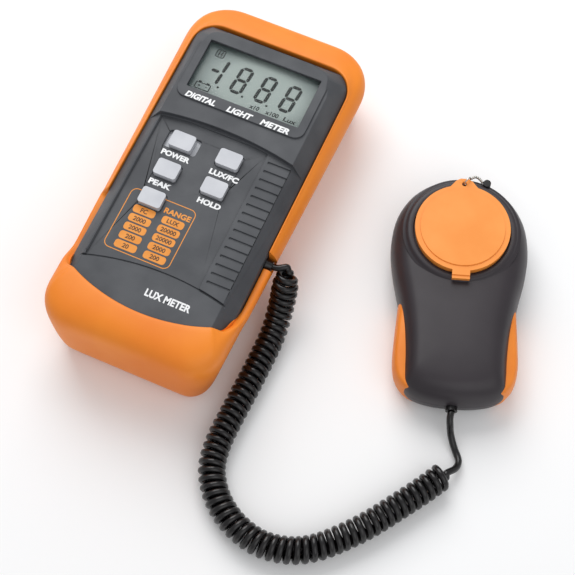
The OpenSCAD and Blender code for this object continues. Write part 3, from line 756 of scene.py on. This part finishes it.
@dataclass
class Boot:
    """Rubber boot: a tray round the case, with a cup over the foot of the face."""

    top_hw: float = 41.8
    cup_hw: float = 38.6
    top_y: float = 82.0
    cup_y: float = -84.0
    top_r: float = 20.0
    cup_r: float = 14.0
    body_hw: float = 35.75
    body_top: float = 67.75
    body_foot: float = -81.75
    body_top_r: float = 11.25
    body_foot_r: float = 20.25
    corner_steps: int = 12
    smile: tuple[float, float, float] = (1.5, 5.5, 74.0)
    lip_reach: float = 33.6
    lip_foot: float = 31.2
    lip_top: float = 39.5
    lip_flat: float = 30.0
    lip_fall: float = 1.226
    notch: tuple[float, float, float] = (-26.9, -21.1, 23.1)
    below: list = field(default_factory=lambda: [
        (0, 9.6, 8.0), (0, 8.4, 6.5), (1, 6.9, 4.6), (3, 5.4, 2.8), (6, 4.5, 1.6), (12, 3.2, 0.6),
        (20, 1.6, 0),
    ])
    end_edge: list = field(default_factory=lambda: [
        (0, 25), (0.35, 28), (1.6, 29.9), (3.2, 30.8), (5, 31.4), (7, 32.2)])
    high_edge: list = field(default_factory=lambda: [
        (0.45, 25), (0.9, 27), (2.2, 29.2), (3.4, 30.5), (4.2, 31.1), (4.9, 31.6)])
    low_edge: list = field(default_factory=lambda: [
        (0.1, 24), (0.1, 26), (0.3, 27.2), (0.8, 27.8), (1.4, 28), (2, 28)])
    cup_foot: float = 28.0
    cup_square: float = 0.7
    face_under: float = 38.15
    face_edge: float = 31.65
    face_slope: float = 1.25
    case_shoulder: float = 31.5

    def stations(self) -> list[Station]:
        """Walks once round the rim, from the middle of the display end clockwise.

        Returns:
            The stations, in order.
        """
        half = []
        low, high = self.cup_y + self.cup_r, self.top_y - self.top_r
        body_low, body_high = self.body_foot + self.body_foot_r, self.body_top - self.body_top_r
        for x in (0.0, 5.5, 11.0, 16.5):
            rim, wall = Vector((x, self.top_y)), Vector((x, self.body_top))
            half.append(Station(rim, wall, Vector((0, 1)), self.top_y))
        half += self.corner(90, (self.top_hw - self.top_r, high, self.top_r),
                            (self.body_hw - self.body_top_r, body_high, self.body_top_r))
        sides = (54, 46, 38, 30, 21, 12, 3, -6, -13, -18, -20.4, -21.2, -21.8, -22.6, -25, -29, -34, -39, -43,
                 -46, -48.5, -51, -53.5, -56, -58.5, -61, -65)
        for y in sides:
            hw = self.cup_hw + (self.top_hw - self.cup_hw) * (y - low) / (high - low)
            y_body = between(y, ((high, body_high), (46, 46), (-48, -48), (low, body_low)))
            half.append(Station(Vector((hw, y)), Vector((self.body_hw, y_body)), Vector((1, 0)), y))
        half += self.corner(0, (self.cup_hw - self.cup_r, low, self.cup_r),
                            (self.body_hw - self.body_foot_r, body_low, self.body_foot_r))
        for x, x_body in ((18.5, 14.5), (12.5, 10), (6.0, 5.0), (0.0, 0.0)):
            rim, wall = Vector((x, self.cup_y)), Vector((x_body, self.body_foot))
            half.append(Station(rim, wall, Vector((0, -1)), self.cup_y))

        def mirrored(s: Station) -> Station:
            """The same station on the other side."""
            flip = Vector((-1, 1))
            return Station(s.outer * flip, s.body * flip, s.normal * flip, s.y)

        return half + [mirrored(s) for s in reversed(half[1:-1])]

    def corner(self, start: float, outer: Point, body: Point) -> list[Station]:
        """Walks round a corner, clockwise.

        Args:
            start: the direction that it starts in, in degrees.
            outer, body: the centre's x and y and the radius of the rim's arc and the case's.

        Returns:
            The stations, in order.
        """
        out = []
        for k in range(self.corner_steps):
            angle = math.radians(start - 90 * k / (self.corner_steps - 1))
            way = Vector((math.cos(angle), math.sin(angle)))
            rim, wall = (Vector((x, y)) + r * way for x, y, r in (outer, body))
            out.append(Station(rim, wall, way, rim.y))
        return out

    def lip(self, s: Station) -> Vector:
        """Place of the cup's lip for a station, on the arc over the face."""
        reach = min(1.0, abs(s.outer.x) / self.cup_hw) if s.y < self.cup_y + self.cup_r else 1.0
        x = math.copysign(self.lip_x(s, reach), s.outer.x)
        cx, cy, r = self.smile
        y = cy - math.sqrt(r * r - (x - cx) ** 2)
        z = self.lip_top - self.lip_fall * max(0.0, abs(x) - self.lip_flat)
        return Vector((x, y, z))

    def lip_x(self, s: Station, reach: float) -> float:
        """How far to the side the lip of a station is."""
        if s.y < self.cup_y + self.cup_r:
            return self.lip_foot * reach
        return between(-s.y, ((70, self.lip_foot), (58.5, self.lip_reach), (0, self.lip_reach)))

    def section(self, s: Station) -> Ring:
        """Points of the wall at a station, from under the base over the rim to the inside floor."""
        side, end = s.normal.x**2, s.normal.y**2

        def outside(points: Pairs) -> Ring:
            """Points set in from the outline."""
            return [Vector((*(s.outer - s.normal * inset), z)) for inset, z in points]

        def inside(points: Pairs) -> Ring:
            """Points set out from the case."""
            return [Vector((*(s.body + s.normal * out), z)) for out, z in points]

        def mix(a: Ring, b: Ring, t: float) -> Ring:
            """Blends two lists of points."""
            return [p.lerp(q, t) for p, q in zip(a, b)]

        wall = outside([(side * a + end * b, z) for z, a, b in self.below])
        slack = min(1.0, ((s.outer - s.body).length - 1.1) / 4.9)
        high = outside([(inset * slack, z) for inset, z in self.high_edge])
        high += inside([(0.7, 32.4), (0.12, 32.1), (0, 31), (0, 29.5), (0, 26)])
        top = outside(self.end_edge) + inside([(0.9, 34.1), (0.15, 33.8), (0, 32.8), (0, 30), (0, 26)])
        low = outside(self.low_edge) + inside([(0.8, 28), (0.12, 27.8), (0, 27), (0, 26), (0, 24)])
        cup = self.cup_section(s)
        if s.y > self.top_y - self.top_r - 1:
            rim = mix(high, top, easing(s.normal.y, 0.0, 0.75))
        else:
            rim = mix(high, low, easing(-s.y, 21.2, 22.6))
            rim = mix(rim, cup, easing(-s.y, 46.5, 58.0))
        floor = inside([(0, 20), (-4.3 * (side + end), 3.05)])
        return wall + rim + floor

    def cup_section(self, s: Station) -> Ring:
        """The cup's part of a section: up the outside to the lip, and back down inside."""
        lip = self.lip(s)
        outward = Vector((*s.normal, 0))
        foot = Vector((*s.outer, self.cup_foot))
        crest = lip + outward * 0.9 + Vector((0, 0, 0.25))
        climb = []
        for k in range(6):
            angle = math.radians(15 * k)
            across = 1 - math.cos(angle) ** self.cup_square
            up = math.sin(angle) ** self.cup_square
            place = foot.lerp(crest, across)
            climb.append(Vector((place.x, place.y, foot.z + (crest.z - foot.z) * up)))
        under = lip + outward * 0.4 + Vector((0, 0, -1.25))
        shoulder = Vector((*s.body, self.case_shoulder))
        mid = under.lerp(shoulder, 0.6)
        mid.z = min(self.face_under, self.face_edge + self.face_slope * (shoulder.xy - mid.xy).length)
        return [*climb, crest, lip + Vector((0, 0, -0.3)), under, mid, shoulder]

    def build(self) -> None:
        """Makes the boot from rings round the case, and cuts the notch for the cord."""
        sections = [self.section(s) for s in self.stations()]
        rings = [list(ring) for ring in zip(*sections)]
        boot = BENCH.loft("boot_shell", rings)
        BENCH.apply(boot, "SUBSURF", levels=2, render_levels=2)
        y0, y1, z = self.notch
        inner, bend, outer, top = 33.6, 36.6, 44, 60
        outline = [(inner, y0), (outer, y0), (outer, y1), (bend, y1), (inner, y1 + 0.3)]
        tool = BENCH.plate("notch_tool", outline, z, top)
        BENCH.cut(boot, tool)
        BENCH.shade(boot, 40)
        hand_over(boot, Body.METER, Finishes.BOOT_RUBBER, ["rubber_boot"])


@dataclass
class Case:
    """Front and rear mouldings of the meter, with their edges rounded."""

    nodes: dict
    corner_r: float = 5.5
    flat: float = 0.9995

    def build(self) -> None:
        """Copies the mouldings and rounds their edges."""
        for node, name, width in (("front_case", "face_moulding", 0.22), ("rear_case", "back_moulding", 0.3),
                                  ("battery_door", "door_moulding", 0.25)):
            piece = BENCH.copy(self.nodes[node], name)
            if node == "front_case":
                self.round_corners(piece)
            BENCH.bevel(piece, width, 2, 30, clamp=False)
            BENCH.shade(piece, 14)
            for face in piece.data.polygons:
                if max(abs(part) for part in face.normal) > self.flat:
                    face.use_smooth = False
            hand_over(piece, Body.METER, Finishes.CASE_ABS, [node])

    def round_corners(self, piece: Piece) -> None:
        """Rounds the two corners of the block at the display end, with tangent cuts."""
        corner = Vector((28.4, 61.2, 40.2))
        fall = Vector((-3.65, -3.26, 4.5))
        for side in (1, -1):
            for degrees in (45, 30, 60, 15, 75):
                c, s = math.cos(math.radians(degrees)), math.sin(math.radians(degrees))
                normal = Vector((c, s, -(c * fall.x + s * fall.y) / fall.z))
                inset = self.corner_r * (c + s - 1) / normal.length
                place = corner - normal.normalized() * inset
                flip = Vector((side, 1, 1))
                BENCH.edit(piece)
                bpy.ops.mesh.select_all(action="SELECT")
                bpy.ops.mesh.bisect(plane_co=place * flip * MM, plane_no=normal * flip,
                                    use_fill=True, clear_outer=True)
                bpy.ops.object.mode_set(mode="OBJECT")


@dataclass
class Keys:
    """The five keys."""

    nodes: dict
    round_mm: float = 0.7

    def build(self) -> None:
        """Rounds each key's edges."""
        for body in (Body.POWER, Body.PEAK, Body.RANGE, Body.LUX_FC, Body.HOLD):
            node = body.value.replace("key", "button")
            piece = BENCH.copy(self.nodes[node], f"{body.value}_top")
            BENCH.soften(piece, self.round_mm, 4, 40)
            hand_over(piece, body, Finishes.KEY_PLASTIC, [node])


@dataclass
class Display:
    """Marks of the liquid-crystal display, as thin segments on the glass."""

    surface: float = 37.9
    digit: tuple[float, float] = (6.0, 13.6)
    stroke: float = 1.45
    slant: float = 0.08
    base_y: float = 37.3
    digit_x: tuple[float, float, float] = (-6.6, 4.5, 15.6)
    film: float = 0.05
    gap: float = 0.18

    def bar(self, x0: float, y0: float, x1: float, y1: float) -> Piece:
        """One segment: a bar with pointed ends between two points of the upright digit."""
        start, end = Vector((x0, y0)), Vector((x1, y1))
        way = (end - start).normalized()
        across = Vector((-way.y, way.x)) * self.stroke / 2
        nose = way * self.stroke / 2
        outline = [start, start + nose + across, end - nose + across,
                   end, end - nose - across, start + nose - across]
        skewed = [(p.x + (p.y - self.base_y) * self.slant, p.y) for p in outline]
        return self.mark("segment", skewed)

    def mark(self, name: str, outline: Pairs) -> Piece:
        """One flat mark of crystal film."""
        return BENCH.plate(name, outline, self.surface, self.surface + self.film)

    def eight(self, x: float) -> list[Piece]:
        """All seven segments of one digit."""
        w, h = self.digit[0] / 2 - self.stroke / 2, self.digit[1]
        b, m, t = self.base_y + self.stroke / 2, self.base_y + h / 2, self.base_y + h - self.stroke / 2
        lines = [(-w, y, w, y) for y in (b, m, t)]
        lines += [(side, y0, side, y1) for y0, y1 in ((b, m), (m, t)) for side in (-w, w)]
        out = []
        for x0, y0, x1, y1 in lines:
            way = Vector((x1 - x0, y1 - y0)).normalized() * self.gap
            out.append(self.bar(x + x0 + way.x, y0 + way.y, x + x1 - way.x, y1 - way.y))
        return out

    def build(self) -> None:
        """Lays out every mark and joins them."""
        marks = [m for x in self.digit_x for m in self.eight(x)]
        b, m, t = self.base_y + 0.9, self.base_y + 6.9, self.base_y + self.digit[1] - 0.3
        one_x = -15.5
        marks += [self.bar(one_x, b, one_x, m - 0.2), self.bar(one_x, m + 0.2, one_x, t),
                  self.bar(-20.6, m, -16.8, m)]
        marks += [self.mark("point", rounded_box(x, 37.2, 0.95, 0.95, 0.3, 2)) for x in (-13.8, -2.7, 8.4)]
        marks.append(BENCH.word("H", -19.6, 52.6, self.surface, 2.1, bold=0.14))
        marks.append(self.outline_box(-19.6, 52.6, 3.6, 3.5, 0.6, 0.45))
        marks.append(self.outline_box(-19.9, 35.0, 6.4, 3.0, 0.3, 0.45))
        marks += [self.mark("post", rounded_box(x, 36.9, 1.3, 0.9, 0.2, 2)) for x in (-21.7, -18.1)]
        marks += [BENCH.word(pole, x, 35.0, self.surface, 1.6, bold=0.08)
                  for pole, x in (("+", -21.5), ("-", -18.2))]
        for text, x, width in (("x10", 4.2, 4.2), ("x100", 12.2, 5.8), ("Lux", 20.2, 5.6)):
            marks.append(BENCH.word(text, x, 34.5, self.surface, 1.9, width, 0.08, 0.1))
        piece = BENCH.join("display_segments", marks)
        hand_over(piece, Body.METER, Finishes.SEGMENT_FILM, slot="display_glass")

    def outline_box(self, x: float, y: float, width: float, depth: float, radius: float,
                    line: float) -> Piece:
        """A thin frame with round corners, printed at the display's surface."""
        return printed_frame("box", x, y, width, depth, radius, line, self.surface)


def printed_frame(name: str, x: float, y: float, width: float, depth: float, radius: float,
                  line: float, z: float) -> Piece:
    """Thin rounded frame on a surface.

    Args:
        name: the piece's name.
        x, y: its centre.
        width, depth: the size to the middle of the line.
        radius: of its corners.
        line: the width of the line.
        z: the surface.

    Returns:
        The frame, 0.04 mm thick.
    """
    outer = rounded_box(x, y, width + line, depth + line, radius + line / 2)
    inner = rounded_box(x, y, width - line, depth - line, max(0.05, radius - line / 2))
    rings = [[Vector((*p, h)) for p in outline] for outline, h in
             ((outer, z), (outer, z + 0.04), (inner, z + 0.04), (inner, z))]
    return BENCH.loft(name, rings, around=True)


@dataclass
class Printing:
    """Words and the range table printed on the face."""

    panel: float = 37.2
    bezel: float = 41.0
    face: float = 38.0
    pill: tuple[float, float, float] = (9.6, 3.5, 1.2)
    left_x: float = -16.4
    right_x: float = -3.6
    first_y: float = -27.2
    step: float = 4.24
    label_size: float = 2.3
    title_size: float = 2.5
    title_y: float = 27.9
    title_slant: float = 0.22
    bold: float = 0.16
    ink: float = 0.04

    def build(self) -> None:
        """Prints the labels and the table."""
        labels = (("POWER", -15.9, 0.9, 12.6), ("PEAK", -16.1, -13.4, 9.8),
                  ("LUX/FC", 6.1, 0.5, 12.8), ("HOLD", 5.9, -13.4, 10.2))
        titles = (("DIGITAL", -16.9, 13.4), ("LIGHT", 0.6, 10.8), ("METER", 16.8, 12.8))
        words = [BENCH.word(text, x, y, self.panel, self.label_size, width, self.bold)
                 for text, x, y, width in labels]
        words += [BENCH.word(text, x, self.title_y, self.bezel, self.title_size, width, self.bold,
                             self.title_slant) for text, x, width in titles]
        words.append(BENCH.word("LUX METER", 9.7, -59.2, self.face, 3.0, 19.5, self.bold))
        piece = BENCH.join("face_labels", words)
        hand_over(piece, Body.METER, Finishes.WHITE_INK, slot="case_abs")
        orange = [printed_frame("table_frame", -10.9, -33.0, 28.6, 28.2, 2.6, 0.35, self.panel),
                  BENCH.word("RANGE", -3.4, -23.2, self.panel, self.label_size, 11.6, 0.12)]
        figures = []
        for x, texts in ((self.left_x, ("FC", "2000", "2000", "200", "20")),
                         (self.right_x, ("LUX", "20000", "20000", "2000", "200"))):
            for row, text in enumerate(texts):
                y = self.first_y - self.step * row
                outline = rounded_box(x, y, *self.pill)
                orange.append(BENCH.plate("pill", outline, self.panel, self.panel + self.ink))
                figures.append(BENCH.word(text, x, y, self.panel + self.ink, 1.9, bold=0.06))
        hand_over(BENCH.join("range_table", orange), Body.METER, Finishes.ORANGE_INK, slot="case_abs")
        hand_over(BENCH.join("range_figures", figures), Body.METER, Finishes.BROWN_INK, slot="case_abs")


# Sensor head ----------------------------------------------------------------------


@dataclass
class SensorHead:
    """Sensor head: two shells, side grips, collar and what is on them."""

    nodes: dict
    place: tuple[float, float] = (102.3, 23.9)
    turn: float = 19.5
    wall: float = 2.2
    deepest: float = 24.9
    well_r: float = 17.05
    cap_round: float = 0.3
    half: list = field(default_factory=lambda: [
        (0, 27.5), (11, 25.6), (20.4, 19.2), (26.4, 9), (28.3, -3), (27.4, -15), (24.6, -28), (22.2, -41),
        (21.2, -53), (21, -61), (20.3, -66.6), (16.5, -69.9), (9, -71.8), (0, -72.5),
    ])
    upper: list = field(default_factory=lambda: [
        (10.05, 0), (11.6, 0.02), (13, 0.1), (14.5, 0.4), (16, 0.9), (17.4, 1.5), (18.6, 2.3), (19.7, 3.2),
        (20.6, 4.2), (21.3, 5.4), (21.8, 6.8), (22.1, 8.6), (22.3, 10.8), (22.5, 14), (22.65, 18),
        (22.7, 22), (22.7, 24.9),
    ])
    lower: list = field(default_factory=lambda: [
        (9.95, 0), (7.5, 0.25), (5, 0.8), (3.6, 1.35), (2.4, 2), (1.5, 2.75), (0.8, 3.6), (0.3, 4.5),
        (0, 5.5), (0, 9), (0, 14), (0, 20), (0, 24.9),
    ])
    collar: list = field(default_factory=lambda: [
        (17.2, 22.0), (19.7, 22.0), (19.9, 22.2), (19.9, 23.2), (20.1, 23.5), (20.6, 23.6), (21.7, 23.6),
        (22.2, 23.45), (22.6, 23.1), (22.9, 22.7), (23.4, 22.4), (24.2, 22.1), (24.2, 21.2), (17.2, 21.2),
    ])
    grip_line: list = field(default_factory=lambda: [
        (22.6, -22), (23.9, -29), (24.4, -36), (25.0, -46), (25.2, -55), (24.0, -62), (20.8, -66.6),
        (17.6, -68.4)])
    grip_levels: list = field(default_factory=lambda: [
        (2.5, 2.6), (3.2, 1.4), (4.6, 0.6), (7, 0.1), (10, 0), (12.6, 0.1), (14.8, 0.6), (16, 1.3),
        (16.5, 2.2)])
    chain_line: list = field(default_factory=lambda: [
        (3.0, 23.4, 25.4), (4.6, 24.6, 24.6), (6.4, 24.4, 23.4), (7.6, 23.3, 22.9)])
    bead_r: float = 0.62

    def set_down(self) -> Matrix:
        """Matrix from the head's own frame to its place beside the meter."""
        x, y = self.place
        return Matrix.Translation(Vector((x, y, 0)) * MM) @ Matrix.Rotation(math.radians(self.turn), 4, "Z")

    def ring(self, z: float, inset: float) -> Ring:
        """The head's outline at a height, drawn in by inset."""
        right = [Vector((p.x, p.y)) for p in smoothed([(x, y, 0) for x, y in self.half], 4)]
        whole = right + [Vector((-p.x, p.y)) for p in reversed(right[1:-1])]
        return [Vector((p.x * (1 - inset / 25), -22.5 + (p.y + 22.5) * (1 - inset / 50), z)) for p in whole]

    def shell(self, name: str, outer: Pairs, way: int, depth: float) -> Piece:
        """A shell with a wall: up its inside to the parting line, and out again.

        Args:
            name: the piece's name.
            outer: height and inset of each outer ring, from the parting line.
            way: 1 for the top shell, -1 for the bottom one.
            depth: the inset at which the wall has its whole thickness.

        Returns:
            The shell.
        """
        inner = [(z - way * self.wall * min(1.0, inset / depth), min(self.deepest, inset + self.wall))
                 for z, inset in reversed(outer)]
        return BENCH.loft(name, [self.ring(z, inset) for z, inset in [*inner, *outer]])

    def grip(self, name: str, side: int) -> Piece:
        """A side grip: a long pad that swells out of the shells.

        Args:
            name: the piece's name.
            side: 1 for the right, -1 for the left.

        Returns:
            The grip, with its back buried in the shells.
        """
        edge = smoothed([(x, y, 0) for x, y in self.grip_line], 6)
        rings = []
        for z, inset in self.grip_levels:
            front = [Vector((side * (p.x - inset), p.y, z)) for p in edge]
            back = [Vector((side * (min(p.x, 20.5) - 3.2 - inset / 4), p.y, z)) for p in reversed(edge)]
            rings.append(front + back)
        return BENCH.loft(name, rings)

    def hang_chain(self, down: Matrix) -> None:
        """Ball chain from the ring in the cap's ear to the eye in the shell."""
        beads = []
        for place in smoothed(self.chain_line, 2):
            BENCH.free()
            bpy.ops.mesh.primitive_uv_sphere_add(segments=12, ring_count=8, radius=self.bead_r * MM,
                                                 location=place * MM)
            bead = BENCH.named("bead")
            bpy.ops.object.transform_apply(location=True, rotation=True, scale=True)
            beads.append(bead)
        chain = BENCH.join("ball_chain", beads)
        BENCH.shade(chain, 60)
        BENCH.move(chain, down)
        hand_over(chain, None, Finishes.CHAIN_STEEL, ["cap_chain"])
        ends = [tuple(down @ (Vector(self.chain_line[k]) * MM)) for k in (-1, 0)]
        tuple(ends[0])
        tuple(ends[1])
        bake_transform(chain)

    def build(self) -> None:
        """Makes the shells, the collar, the grips, the cap and its chain."""
        down = self.set_down()
        top = self.shell("head_top", self.upper, 1, 9)
        BENCH.cut(top, BENCH.turned("well_tool", [(self.well_r, 17), (self.well_r, 30)]))
        collar = BENCH.turned("collar", self.collar, 128, around=True)
        BENCH.shade(top, 40)
        BENCH.shade(collar, 40)
        top = BENCH.join("head_top", [top, collar])
        BENCH.move(top, down)
        hand_over(top, Body.SENSOR, Finishes.HEAD_ABS, ["sensor_top_shell"])
        bottom = self.shell("head_bottom", self.lower, -1, 5.5)
        BENCH.shade(bottom, 40)
        BENCH.move(bottom, down)
        hand_over(bottom, Body.SENSOR, Finishes.HEAD_ABS, ["sensor_bottom_shell"])
        for name, side in (("left", -1), ("right", 1)):
            grip = self.grip(f"{name}_side_grip", side)
            BENCH.shade(grip, 50)
            BENCH.move(grip, down)
            hand_over(grip, Body.SENSOR, Finishes.GRIP_RUBBER, [f"{name}_grip"])
        self.hang_chain(down)
        cap = BENCH.copy(self.nodes["sensor_cap"], "cap_moulding")
        BENCH.soften(cap, self.cap_round, 3, 35)
        hand_over(cap, Body.CAP, Finishes.CAP_PLASTIC, ["sensor_cap"])


def main() -> None:
    """Builds the camera and the cord, then every sub-assembly in order."""
    logging.basicConfig(level=logging.INFO, format="%(message)s")
    for stray in list(bpy.data.objects):
        bpy.data.objects.remove(stray)
    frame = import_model()
    nodes = frame["nodes"]
    studio = Studio()
    studio.set_camera()
    CoiledCord().build()
    studio.lay_floor()
    studio.light()
    for node in nodes.values():
        slot = node.data.materials[0].name.split(".")[0]
        Finishes[slot.upper()].dress(node)
    Boot().build()
    Case(nodes).build()
    Keys(nodes).build()
    Display().build()
    Printing().build()
    SensorHead(nodes).build()
    BENCH.free()


if __name__ == "__main__":
    main()
